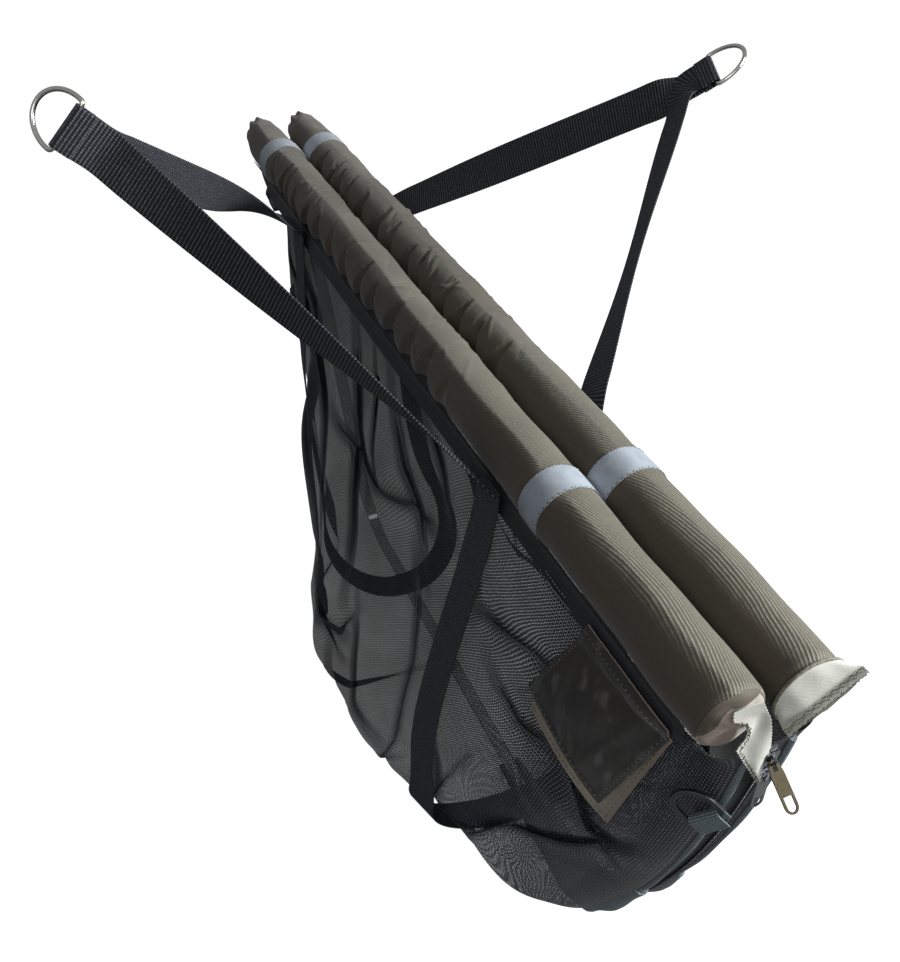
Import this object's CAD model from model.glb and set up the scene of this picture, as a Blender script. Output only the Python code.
import math

import bpy
import numpy as np
from mathutils import Matrix, Vector


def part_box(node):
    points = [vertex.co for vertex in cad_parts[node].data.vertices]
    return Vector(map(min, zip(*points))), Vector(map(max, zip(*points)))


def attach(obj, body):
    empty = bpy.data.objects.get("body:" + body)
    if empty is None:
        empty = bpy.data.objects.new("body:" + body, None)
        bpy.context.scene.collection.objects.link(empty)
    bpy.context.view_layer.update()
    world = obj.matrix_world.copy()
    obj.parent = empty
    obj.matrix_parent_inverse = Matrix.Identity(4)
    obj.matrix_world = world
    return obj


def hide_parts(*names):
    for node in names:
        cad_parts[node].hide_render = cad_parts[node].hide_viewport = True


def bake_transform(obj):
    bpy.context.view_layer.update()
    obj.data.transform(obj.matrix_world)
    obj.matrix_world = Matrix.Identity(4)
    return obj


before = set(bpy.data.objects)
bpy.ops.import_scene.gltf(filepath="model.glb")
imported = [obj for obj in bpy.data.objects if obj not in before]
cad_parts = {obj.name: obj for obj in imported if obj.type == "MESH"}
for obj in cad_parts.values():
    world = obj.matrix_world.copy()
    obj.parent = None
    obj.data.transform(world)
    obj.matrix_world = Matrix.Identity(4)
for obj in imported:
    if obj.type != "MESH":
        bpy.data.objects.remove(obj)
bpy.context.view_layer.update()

# The view and the light
# The sling hangs open-handled over a pale floor, seen from above its zip end.
# One wide soft lamp stands over the right float, so the left flanks stay dark.
VIEW_AZIMUTH = math.radians(65.9983)
VIEW_ELEVATION = math.radians(39.5675)
VIEW_ROLL = 0.0015
CAMERA_PLACE = (0.8192, -0.3412, 0.2894)
CAMERA_LENS = 36.602
ROOM_FILL = 0.10
ROOM_SHINE = 0.26
FLOOR_SIZE = 14
FLOOR_Z = -0.725
FLOOR_GLOW = 0.97


def axes_at(place, *axes):
    """A matrix that carries X, Y and Z to three directions at a place."""
    return Matrix.Translation(Vector(place)) @ Matrix([Vector(axis) for axis in axes]).transposed().to_4x4()


view_back = Vector((math.sin(VIEW_AZIMUTH) * math.cos(VIEW_ELEVATION),
                    -math.cos(VIEW_AZIMUTH) * math.cos(VIEW_ELEVATION),
                    math.sin(VIEW_ELEVATION)))
view_right = Vector((0, 0, 1)).cross(view_back).normalized()
bpy.ops.object.camera_add()
camera = bpy.context.object
camera.data.sensor_width = 36
camera.data.lens = CAMERA_LENS
view_place = axes_at(CAMERA_PLACE, view_right, view_back.cross(view_right), view_back)
camera.matrix_world = view_place @ Matrix.Rotation(VIEW_ROLL, 4, "Z")
bpy.context.scene.camera = camera
bpy.context.scene.view_settings.view_transform = "Standard"


def soft_lamp(place, aim, size, power):
    """A square soft box that looks at a point."""
    bpy.ops.object.light_add(type="AREA", location=place)
    lamp = bpy.context.object
    lamp.data.shape = "SQUARE"
    lamp.data.size = size
    lamp.data.energy = power
    lamp.rotation_euler = (Vector(aim) - Vector(place)).to_track_quat("-Z", "Y").to_euler()


soft_lamp((1.25, 1.75, 0.98), (0.1, 0.0, -0.25), 0.9, 122)
soft_lamp((1.7, -0.9, 1.3), (0.1, 0.0, -0.4), 1.2, 12)


class Field:
    """An output socket that adds, multiplies and shapes like a number."""

    def __init__(self, socket):
        self.socket = socket
        self.tree = socket.id_data

    def math(self, kind, *others):
        """A Math node on this field and other fields or numbers."""
        made = node(self.tree, "ShaderNodeMath", dict(enumerate((self, *others))), operation=kind)
        return Field(made.outputs[0])

    def __add__(self, other):
        return self.math("ADD", other)

    def __sub__(self, other):
        return self.math("SUBTRACT", other)

    def __mul__(self, other):
        return self.math("MULTIPLY", other)

    def wave(self, pitch):
        """A sine over the field that repeats at every pitch."""
        return (self * (2 * math.pi / pitch)).math("SINE")

    def ramp(self, low, high, start=0.0, end=1.0):
        """Goes smoothly from start to end while the field goes from low to high."""
        inputs = {"Value": self, "From Min": low, "From Max": high, "To Min": start, "To Max": end}
        made = node(self.tree, "ShaderNodeMapRange", inputs, interpolation_type="SMOOTHSTEP")
        return Field(made.outputs["Result"])

    def mix(self, first, second):
        """A colour between two, by this share."""
        made = node(self.tree, "ShaderNodeMix", {"Factor": self}, data_type="RGBA")
        for slot, value in zip([slot for slot in made.inputs if slot.type == "RGBA"], (first, second)):
            feed(slot, value)
        return Field([slot for slot in made.outputs if slot.type == "RGBA"][0])


def feed(slot, value):
    """Gives an input a number, a colour, a field or another node's output."""
    if isinstance(value, Field):
        value = value.socket
    if isinstance(value, bpy.types.NodeSocket):
        slot.id_data.links.new(value, slot)
    elif slot.type == "RGBA":
        slot.default_value = (*value, 1)
    else:
        slot.default_value = value


def node(tree, kind, inputs=None, **settings):
    """A new node of a tree, with its settings and its inputs."""
    made = tree.nodes.new(kind)
    for name, value in settings.items():
        setattr(made, name, value)
    for name, value in (inputs or {}).items():
        feed(made.inputs[name], value)
    return made


world = bpy.context.scene.world or bpy.data.worlds.new("room")
bpy.context.scene.world = world
world.use_nodes = True
room = world.node_tree
room.nodes.clear()
ray = node(room, "ShaderNodeLightPath").outputs
fill = {"Color": (0.93, 0.96, 1.0), "Strength": Field(ray["Is Glossy Ray"]) * ROOM_SHINE + ROOM_FILL}
fill = node(room, "ShaderNodeBackground", fill).outputs[0]
white = node(room, "ShaderNodeBackground", {"Strength": 1.0}).outputs[0]
seen = Field(ray["Is Camera Ray"]).math("MAXIMUM", ray["Is Transmission Ray"])
both = node(room, "ShaderNodeMixShader", {0: seen, 1: fill, 2: white}).outputs[0]
node(room, "ShaderNodeOutputWorld", {0: both})

bpy.ops.object.select_all(action="DESELECT")
bpy.ops.mesh.primitive_plane_add(size=FLOOR_SIZE, location=(0, 0, FLOOR_Z))
floor = bpy.context.object
floor.name = "pale_floor"
floor_paint = bpy.data.materials.new("pale_floor")
floor_paint.use_nodes = True
paint = floor_paint.node_tree
paint.nodes.clear()
matt = node(paint, "ShaderNodeBsdfDiffuse", {"Color": (0.22, 0.22, 0.22)}).outputs[0]
glow = Field(node(paint, "ShaderNodeLightPath").outputs["Is Camera Ray"]) * FLOOR_GLOW
glow = node(paint, "ShaderNodeEmission", {"Strength": glow}).outputs[0]
both = node(paint, "ShaderNodeAddShader", {0: matt, 1: glow}).outputs[0]
node(paint, "ShaderNodeOutputMaterial", {0: both})
floor.data.materials.append(floor_paint)

# Foam bars
# Two round bars of closed-cell foam float the mouth of the sling. They are cut to
# length and slid into the sleeves, whose gathers press hollows into them.
FLOAT_AXIS_Z = -0.210
FLOAT_AXIS_Y = 0.0296
SIDES = (("left", -1), ("right", 1))
FOAM_RADIUS = 0.0267
SLEEVE_RADIUS = 0.0284
SLEEVE_START = -0.5496
SLEEVE_END = 0.5496
FAR_DRAW = 0.100
FAR_STEPS = (0.0, 0.08, 0.25, 0.55, 1.0)
FAR_WIDTHS = (0.34, 0.55, 0.76, 0.93, 1.0)
FAR_HEIGHTS = (0.60, 0.76, 0.90, 0.97, 1.0)
BAND_PLACES = (-0.420, 0.330)
BAND_HALF = 0.015
PUCKER_PITCH = 0.040
PUCKER_START = -0.392
PUCKER_END = 0.150
RIDGE_ANGLE = {-1: 0.28, 1: 0.05}
WELD = 0.00002
FINE_WELD = 0.000001


class Stuff:
    """A Principled material, with the place on the object that its patterns are drawn on."""

    def __init__(self, name, colour, roughness, metallic=0.0):
        self.material = bpy.data.materials.new(name)
        self.material.use_nodes = True
        self.tree = self.material.node_tree
        self.shader = self.tree.nodes["Principled BSDF"].inputs
        self.place = node(self.tree, "ShaderNodeTexCoord").outputs["Object"]
        self.feed({"Base Color": colour, "Roughness": roughness, "Metallic": metallic})

    def feed(self, values):
        """Gives the shader's inputs their values by name."""
        for name, value in values.items():
            feed(self.shader[name], value)

    def noise(self, scale, detail=3.0, rough=0.5, place=None):
        """A cloud of values over a place."""
        inputs = {"Vector": place or self.place, "Scale": scale, "Detail": detail, "Roughness": rough}
        return Field(node(self.tree, "ShaderNodeTexNoise", inputs).outputs["Fac"])

    def cells(self, scale):
        """How far each point is from the nearest of many scattered ones."""
        inputs = {"Vector": self.place, "Scale": scale}
        return node(self.tree, "ShaderNodeTexVoronoi", inputs, feature="F1").outputs["Distance"]

    def attribute(self, name):
        """A value that the mesh carries."""
        found = node(self.tree, "ShaderNodeAttribute", attribute_type="GEOMETRY", attribute_name=name)
        return Field(found.outputs["Fac"])

    def split(self, vector):
        """The X, Y and Z of a vector."""
        return [Field(socket) for socket in node(self.tree, "ShaderNodeSeparateXYZ", {0: vector}).outputs]

    def chart(self):
        """The cloth's own map in metres."""
        return node(self.tree, "ShaderNodeUVMap", uv_map="cloth").outputs["UV"]

    def relief(self, height, depth, strength=1.0):
        """Raises the surface by a field or an output."""
        bump = node(self.tree, "ShaderNodeBump", {"Height": height, "Distance": depth, "Strength": strength})
        feed(self.shader["Normal"], bump.outputs["Normal"])


def choose(*pieces):
    """Only these pieces are selected, so that the next operator acts on them alone."""
    if bpy.context.object and bpy.context.object.mode != "OBJECT":
        bpy.ops.object.mode_set(mode="OBJECT")
    bpy.ops.object.select_all(action="DESELECT")
    for piece in pieces:
        piece.select_set(True)
    if pieces:
        bpy.context.view_layer.objects.active = pieces[0]


def cloth_grid(name, columns, rows, width, length):
    """A flat cut of cloth with its own map in metres, and the shares across and along."""
    choose()
    bpy.ops.mesh.primitive_grid_add(x_subdivisions=columns, y_subdivisions=rows, size=1)
    piece = bpy.context.object
    piece.name = name
    piece.data.name = name
    flat = np.empty(len(piece.data.vertices) * 3)
    piece.data.vertices.foreach_get("co", flat)
    flat = flat.reshape(-1, 3) + 0.5
    corners = np.empty(len(piece.data.loops), np.int64)
    piece.data.loops.foreach_get("vertex_index", corners)
    chart = flat[corners][:, :2] * (width, length)
    piece.data.uv_layers[0].data.foreach_set("uv", chart.astype(np.float32).ravel())
    piece.data.uv_layers[0].name = "cloth"
    return piece, flat[:, 0], flat[:, 1]


def lay(piece, *places):
    """Moves every vertex of a piece to its place, given in rows or as x, y and z."""
    rows = places[0] if len(places) == 1 else np.stack(places, axis=1)
    piece.data.vertices.foreach_set("co", rows.astype(np.float32).ravel())
    piece.data.update()


def mend(piece, gap=None, fill=False):
    """Merges what touches, fills a tube's open rings if asked, and turns the faces outwards."""
    choose(piece)
    bpy.ops.object.mode_set(mode="EDIT")
    bpy.ops.mesh.select_all(action="SELECT")
    if gap:
        bpy.ops.mesh.remove_doubles(threshold=gap)
    if fill:
        bpy.ops.mesh.fill_holes(sides=0)
    bpy.ops.mesh.normals_make_consistent(inside=False)
    bpy.ops.object.mode_set(mode="OBJECT")


def dress(piece, material, slot, body, *nodes, crease=None):
    """Shades a piece, gives it its material and slot, and puts it on its body and in its nodes' place."""
    choose(piece)
    if crease:
        bpy.ops.object.shade_smooth_by_angle(angle=math.radians(crease))
    else:
        bpy.ops.object.shade_smooth()
    if material:
        piece.data.materials.append(material)
    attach(piece, body)
    if nodes:
        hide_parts(*nodes)


def ease(low, high, value):
    """A smooth step from 0 to 1."""
    t = np.clip((value - low) / (high - low), 0, 1)
    return t * t * (3 - 2 * t)


def puckers(side, x, angle):
    """How far a gathered sleeve falls in: hollows on both sides of its crest, and creases over it."""
    chance = np.random.default_rng(12 if side < 0 else 31)
    ridge = RIDGE_ANGLE[side]
    left_row = (PUCKER_START, PUCKER_END, 1, 2.1, 0.25, 1 - ease(2.2, 2.9, angle),
                (0.65, 1.30), (0.40, 0.52), (-0.22, 0.42), (-0.020, 0.004), (0.0060, 0.0105))
    right_row = (PUCKER_START + 0.01, PUCKER_END + 0.04, -1, -2.2, 0.3, ease(-3.0, -2.4, angle),
                 (0.9, 1.7), (0.36, 0.48), (0.45, 1.05), (-0.024, 0.012), (0.0030, 0.0062))
    sunk = np.zeros_like(x)
    for at, stop, way, foot, soft, fade, pitches, halves, tips, leans, sinks in (left_row, right_row):
        while at < stop:
            pitch = PUCKER_PITCH * chance.uniform(*pitches)
            half = pitch * chance.uniform(*halves)
            tip = ridge + way * chance.uniform(*tips)
            lean = chance.uniform(*leans)
            sink = chance.uniform(*sinks)
            climb = np.clip((foot - angle) / (foot - tip), 0, 1)
            aside = np.abs(x - at - pitch / 2 - lean * climb) / (half * (1 - climb) + 0.0004)
            hollow = np.clip(1 - aside, 0, 1)
            sunk = np.maximum(sunk, sink * hollow * (2 - hollow) * ease(0.0, soft, 1 - climb) * fade)
            at += pitch
    raised = np.zeros_like(x)
    for _ in range(52):
        east = x - chance.uniform(PUCKER_START - 0.02, PUCKER_END + 0.05)
        round_it = SLEEVE_RADIUS * (angle - ridge - chance.uniform(-1.5, 0.9))
        course = math.radians(chance.uniform(25, 75)) * (1 if chance.uniform() < 0.75 else -1)
        long = chance.uniform(0.009, 0.024)
        thin = chance.uniform(0.0013, 0.0030)
        height = chance.uniform(0.0005, 0.0016) * (1 if chance.uniform() < 0.6 else -1)
        run = east * math.cos(course) + round_it * math.sin(course)
        off = round_it * math.cos(course) - east * math.sin(course)
        raised += height * np.exp(-(off / thin) ** 2) * np.exp(-(run / long) ** 4)
    return sunk, raised


def sleeve_reach(side, x, angle):
    """How far from the float's axis the puckered sleeve lies; the angle runs from its top to the left."""
    shift = 0.0 if side < 0 else 0.37
    from_end = np.clip((x - SLEEVE_START) / FAR_DRAW, 0, 1)
    rim = np.clip((x - SLEEVE_END) / 0.006 + 1, 0, 1)
    near = 1 - 0.05 * ease(SLEEVE_END - 0.045, SLEEVE_END, x) - 0.08 * rim ** 2
    free = np.ones_like(x)
    for band in BAND_PLACES:
        free *= ease(BAND_HALF - 0.001, BAND_HALF + 0.016, np.abs(x - band))
    worked = ease(PUCKER_START, PUCKER_START + 0.03, x) * free
    worked *= 1 - 0.85 * ease(PUCKER_END - 0.05, PUCKER_END + 0.05, x)
    sunk, raised = puckers(side, x, angle)
    radial = -sunk * worked + raised * (0.25 + 0.75 * worked) * free
    ridge_at = RIDGE_ANGLE[side] + 0.10 * np.sin(x * 9 + shift) + 0.04 * np.sin(x * 41)
    ridge = np.exp(-np.abs(angle - ridge_at) / 0.42)
    radial += (0.0031 if side < 0 else 0.0018) * (ridge - 0.40) * (0.12 + 0.88 * free)
    radial += (0.0006 * np.sin(x * 31 + 2 * angle + shift * 7) + 0.0004 * np.sin(x * 71 - angle)) * free
    gathers = 0.10 * np.cos(9 * angle) * (1 - ease(0.0, 0.45, from_end))
    reach = (SLEEVE_RADIUS * near + radial * from_end) * (1 + gathers)
    return np.where(np.abs(angle) > 2.2, np.minimum(reach, SLEEVE_RADIUS + 0.0009), reach)


def on_float(side, reach, angle, wide=1.0, high=1.0):
    """Y and Z of places round a float's axis."""
    return side * FLOAT_AXIS_Y - reach * wide * np.sin(angle), FLOAT_AXIS_Z + reach * high * np.cos(angle)


foam = Stuff("foam", (0.03, 0.03, 0.031), 0.9)
foam.feed({"Base Color": foam.noise(40).mix((0.022, 0.022, 0.023), (0.045, 0.045, 0.046))})
foam.relief(foam.cells(600), 0.0004)
for side_name, side in SIDES:
    low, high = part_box(side_name + "_float_core")
    bar, around, along = cloth_grid(side_name + "_foam_bar", 96, 330, 0.168, high.x - low.x)
    x = low.x + (high.x - low.x) * along
    angle = 2 * math.pi * (around - 0.5)
    reach = np.minimum(FOAM_RADIUS, sleeve_reach(side, x, angle) - 0.0009)
    lay(bar, x, *on_float(side, reach, angle))
    mend(bar, WELD, fill=True)
    dress(bar, foam.material, "foam", side_name + "_side", side_name + "_float_core", crease=40)

# Float sleeves
# Olive coated polyester, rolled round each bar and sewn along its underside to
# the netting, which gathers it: it puckers in a row of three-cornered hollows.
# The far end is drawn in and sewn shut, and a crease runs along the left one.
RIB_PITCH = 0.0029


def olive_cloth(name, colour, dark, rib_depth, rib_share):
    """Coated polyester with fine ribs that lie a little askew, and a dull sheen."""
    cloth = Stuff(name, colour, 0.62)
    cloth.feed({"Specular IOR Level": 0.35, "Sheen Weight": 0.18, "Sheen Roughness": 0.5})
    across, along, _ = cloth.split(cloth.chart())
    from_band = along - 0.88
    turn = from_band.math("MAXIMUM", -0.06) * -2.2 + 0.55
    askew = turn * from_band + across + (cloth.noise(11, 2) - 0.5) * 0.012
    ribs = askew.wave(RIB_PITCH).ramp(-0.5, 0.95) * cloth.noise(380, 2).ramp(0.3, 0.6, 0.45, 1.0)
    crest = (cloth.noise(120, 1) * 0.010 + across).ramp(0.100, 0.112, 1.0, 0.05)
    near = cloth.split(cloth.place)[0].ramp(0.05, 0.30, 0.22, 1.0)
    ribs = ribs * near * crest * rib_share
    brown = tuple(c * share for c, share in zip(colour, (0.66, 0.53, 0.51)))
    light = tuple(min(1, c * 2.1) for c in colour)
    base = crest.mix(brown, cloth.noise(14, 4).ramp(0.3, 0.7).mix(colour, dark))
    worn = cloth.noise(900, 2).ramp(0.35, 0.75, 0.0, 0.35).mix(ribs.mix(base, light), dark)
    cloth.feed({"Base Color": worn})
    cloth.relief(cloth.noise(90, 3) * 1.2 + ribs, rib_depth)
    return cloth


olive = olive_cloth("olive_sleeve_cloth", (0.102, 0.098, 0.074), (0.070, 0.064, 0.048), 0.0004, 0.9)
for side_name, side in SIDES:
    sleeve, around, along = cloth_grid(side_name + "_sleeve_cloth", 128, 560, 0.179, 1.100)
    x = SLEEVE_START + (SLEEVE_END - SLEEVE_START) * along
    angle = 2 * math.pi * (around - 0.5)
    from_end = np.clip((x - SLEEVE_START) / FAR_DRAW, 0, 1)
    shut = ease(0.0, 0.006, along)
    reach = sleeve_reach(side, x, angle) * (0.04 + 0.96 * shut)
    wide = np.interp(from_end, FAR_STEPS, FAR_WIDTHS)
    high = np.interp(from_end, FAR_STEPS, FAR_HEIGHTS)
    lay(sleeve, x + 0.004 * (1 - shut), *on_float(side, reach, angle, wide, high))
    mend(sleeve, WELD, fill=True)
    dress(sleeve, olive.material, "olive_fabric", side_name + "_side", side_name + "_sleeve", crease=50)

# Reflective bands
# A strip of grey reflective tape is sewn round each float in two places.
# Both its edges are overlocked in thread that alternates light and dark.
BAND_SKIN = 0.0291
BAND_FLAT = (0.183, 0.030)
STITCH_LENGTH = 0.0021
STITCH_PITCH = 0.0027
FINE_STITCH = (0.0019, 0.0004)
grey_tape = Stuff("reflective_tape", (0.33, 0.37, 0.42), 0.42)
tape_wear = grey_tape.noise(55, 5, 0.6)
grey_tape.feed({"Specular IOR Level": 0.7, "Roughness": tape_wear.ramp(0.3, 0.8, 0.34, 0.55),
                "Base Color": tape_wear.ramp(0.35, 0.7).mix((0.30, 0.345, 0.40), (0.40, 0.44, 0.475))})
grey_tape.relief(grey_tape.cells(1800), 0.0002, 0.5)


def thread_stuff(name, colour):
    """Twisted sewing thread."""
    thread = Stuff(name, colour, 0.7)
    inputs = {"Vector": thread.place, "Scale": 0.314 / 0.0005}
    twist = node(thread.tree, "ShaderNodeTexWave", inputs, wave_type="BANDS", bands_direction="DIAGONAL")
    thread.relief(twist.outputs["Fac"], 0.0001)
    thread.feed({"Base Color": thread.noise(300).mix(tuple(c * 0.6 for c in colour), colour)})
    return thread.material


light_thread = thread_stuff("light_thread", (0.34, 0.36, 0.29))
dark_thread = thread_stuff("dark_thread", (0.03, 0.032, 0.028))


def give_wall(piece, thickness, offset=0):
    """Gives a sheet its thickness."""
    choose(piece)
    wall = piece.modifiers.new("wall", "SOLIDIFY")
    wall.thickness = thickness
    wall.offset = offset
    bpy.ops.object.modifier_apply(modifier=wall.name)


def join_copies(name, first, turns, materials):
    """A piece copied by every matrix and joined; the copies take the materials by turns."""
    copies = []
    for i, turn in enumerate(turns):
        copy = bpy.data.objects.new(name, first.data.copy())
        bpy.context.scene.collection.objects.link(copy)
        copy.data.transform(turn)
        copy.data.materials.append(materials[i % len(materials)])
        copies.append(copy)
    bpy.data.objects.remove(first)
    choose(*copies)
    bpy.ops.object.join()
    row = bpy.context.object
    row.name = name
    row.data.name = name
    return row


def stitch_row(name, stitches, threads, slot, body, length=STITCH_LENGTH, thick=0.00045):
    """One stitch, rounded and laid down, copied along a row of places, runs and facings."""
    choose()
    bpy.ops.mesh.primitive_uv_sphere_add(segments=6, ring_count=4, radius=1)
    turns = []
    for place, run, face in stitches:
        run = Vector(run).normalized()
        face = Vector(face)
        face = (face - run * face.dot(run)).normalized()
        size = Matrix.Diagonal((length / 2, thick, thick * 0.75, 1))
        turns.append(axes_at(place, run, face.cross(run), face) @ size)
    dress(join_copies(name, bpy.context.object, turns, threads), None, slot, body)


for side_name, side in SIDES:
    for name, band_x in zip((side_name + "_far", side_name + "_near"), BAND_PLACES):
        band, around, along = cloth_grid(name + "_tape", 110, 10, *BAND_FLAT)
        angle = 2 * math.pi * (around - 0.5)
        skin = BAND_SKIN + 0.00022 * np.sin(math.pi * along) + 0.0001 * np.sin(5 * angle + band_x * 40)
        askew = 0.0006 * np.sin(angle + 1.3) * side
        lay(band, band_x + BAND_HALF * (2 * along - 1) + askew, *on_float(side, skin, angle))
        mend(band, WELD)
        give_wall(band, 0.0004, -1)
        dress(band, grey_tape.material, "reflective", side_name + "_side", name + "_reflective_band",
              crease=40)
        count = int(2 * math.pi * BAND_SKIN / STITCH_PITCH)
        stitches = []
        for edge_side in (-1, 1):
            for i in range(count):
                turn = 2 * math.pi * i / count
                here = band_x + edge_side * (BAND_HALF - 0.0006 + (0.0006 if i % 2 else -0.0004))
                out = Vector((0, -math.sin(turn), math.cos(turn)))
                here += 0.0006 * math.sin(turn + 1.3) * side
                place = Vector((here, side * FLOAT_AXIS_Y, FLOAT_AXIS_Z))
                run = (0.35 * edge_side, -math.cos(turn), -math.sin(turn))
                stitches.append((place + out * (BAND_SKIN + 0.0001), run, out))
        stitch_row(name + "_tape_stitches", stitches, (light_thread, dark_thread), "reflective",
                   side_name + "_side")

# The bag's netting
# Two sides of black knitted polyester netting hang from the floats and meet at
# the seam. It is limp, so it falls in long pleats that lie three layers thick,
# and those read as dark lines. Its holes are 1 to 1.5 mm wide, 2.6 mm apart.
HUG_RADIUS = 0.0305
HEM_WIDTH = FLOAT_AXIS_Y + HUG_RADIUS * math.cos(math.radians(50))
HEM_DROP = HUG_RADIUS * math.sin(math.radians(50))
BELLY_WIDTH = 0.174
BELLY_DROP = 0.430
BAG_DROP = 0.494
SEAM_EDGE = 0.0172
ZIP_TOP = (0.560, 0.028)
ZIP_LOW = (0.436, 0.446)
ZIP_BOW = 0.022
CORNER_RADIUS = 0.075
FLANK_SHARE = 0.68
zip_run_x = ZIP_LOW[0] - ZIP_TOP[0]
zip_run_z = ZIP_TOP[1] - ZIP_LOW[1]
zip_chord = math.hypot(zip_run_x, zip_run_z)
ZIP_ARC = zip_chord ** 2 / (8 * ZIP_BOW) + ZIP_BOW / 2
ZIP_X = (ZIP_TOP[0] + ZIP_LOW[0]) / 2 + zip_run_z / zip_chord * (ZIP_ARC - ZIP_BOW)
ZIP_Z = -(ZIP_TOP[1] + ZIP_LOW[1]) / 2 - zip_run_x / zip_chord * (ZIP_ARC - ZIP_BOW)


def corner_inset(drop):
    """How far the rounded bottom corners draw an end in."""
    into = np.clip((drop - (BAG_DROP - CORNER_RADIUS)) / CORNER_RADIUS, 0, 1)
    return CORNER_RADIUS * (1 - np.sqrt(1 - into * into))


def near_end(drop):
    """The zip end of the bag at a drop below the floats."""
    height = -drop - ZIP_Z
    return ZIP_X + np.sqrt(ZIP_ARC ** 2 - height * height) - corner_inset(drop)


def far_end(drop):
    """The far end of the bag at a drop below the floats."""
    return -0.521 + 0.268 * (np.maximum(drop, 0) / BAG_DROP) ** 0.72 + corner_inset(drop)


STRAP_LINES = {-1: ((-0.270, -0.100), (0.263, 0.278)), 1: ((-0.270, -0.100), (0.215, 0.278))}
CINCHES = (0.24, 0.08)
CINCH_REACH = 0.055
NARROW_EDGE = 0.0065


def strap_x(side, which, drop):
    """Where a strap runs along the bag at a drop below the floats."""
    hem_x, foot_x = STRAP_LINES[side][which]
    share = np.clip((drop - HEM_DROP) / (BAG_DROP - HEM_DROP), 0, 1)
    return hem_x + (foot_x - hem_x) * share ** 4


def seam_edge(x):
    """Half the width that the binding takes: wide beside the zip, narrow along the seam."""
    return NARROW_EDGE + (SEAM_EDGE - NARROW_EDGE) * ease(0.33, 0.41, x)


def net_place(side, along, down):
    """A point of the netting's wall: along from the far end to the zip, down from hem to seam."""
    flank = np.clip(down / FLANK_SHARE, 0, 1)
    under = np.clip((down - FLANK_SHARE) / (1 - FLANK_SHARE), 0, 1) * math.pi / 2
    drop = np.where(down < FLANK_SHARE, HEM_DROP + (BELLY_DROP - HEM_DROP) * flank,
                    BELLY_DROP + (BAG_DROP - BELLY_DROP) * np.sin(under))
    x = far_end(drop) + (near_end(drop) - far_end(drop)) * along
    edge = seam_edge(x)
    width = np.where(down < FLANK_SHARE, HEM_WIDTH + (BELLY_WIDTH - HEM_WIDTH) * flank,
                     edge + (BELLY_WIDTH - edge) * np.cos(under))
    depth = np.clip(drop / (0.8 * BAG_DROP), 0, 1)
    power = 10.2 + (1.5 - 10.2) * np.sqrt(depth)
    hemmed = 1 - ease(0.0, 0.05, down)
    power = power + (60 - power) * hemmed ** 2
    fullness = np.sqrt(np.clip(1 - np.abs(2 * along - 1) ** power, 0, 1))
    drawn = np.ones_like(x)
    for which, cinch in enumerate(CINCHES):
        off = (x - strap_x(side, which, drop)) / CINCH_REACH
        drawn = drawn - cinch * ease(0.02, 0.15, drop) * np.exp(-off ** 4)
    y = edge + (width - edge) * fullness * drawn
    hugging = np.sqrt(np.clip(HUG_RADIUS ** 2 - (y - FLOAT_AXIS_Y) ** 2, 0, 1))
    drop = drop + (hugging - drop) * hemmed ** 3
    x = far_end(drop) + (near_end(drop) - far_end(drop)) * along
    return np.stack([x, side * y, FLOAT_AXIS_Z - drop], axis=1)


def unit(v):
    """A vector, or each row of several, brought to length 1."""
    return v / np.maximum(np.linalg.norm(v, axis=-1, keepdims=True), 1e-9)


def net_surface(side, along, down, lift):
    """The same wall with a lift along its outward normal."""
    step = 0.004
    here = net_place(side, along, down)
    across = (net_place(side, np.clip(along + step, 0, 1), down)
              - net_place(side, np.clip(along - step, 0, 1), down))
    fall = (net_place(side, along, np.clip(down + step, 0, 1))
            - net_place(side, along, np.clip(down - step, 0, 1)))
    out = unit(np.cross(fall, across))
    middle = np.array([0.0, 0.0, FLOAT_AXIS_Z - BAG_DROP / 2])
    flip = np.sign(np.sum(out * (here - middle), axis=1, keepdims=True))
    return here + out * flip * lift[:, None]


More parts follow.
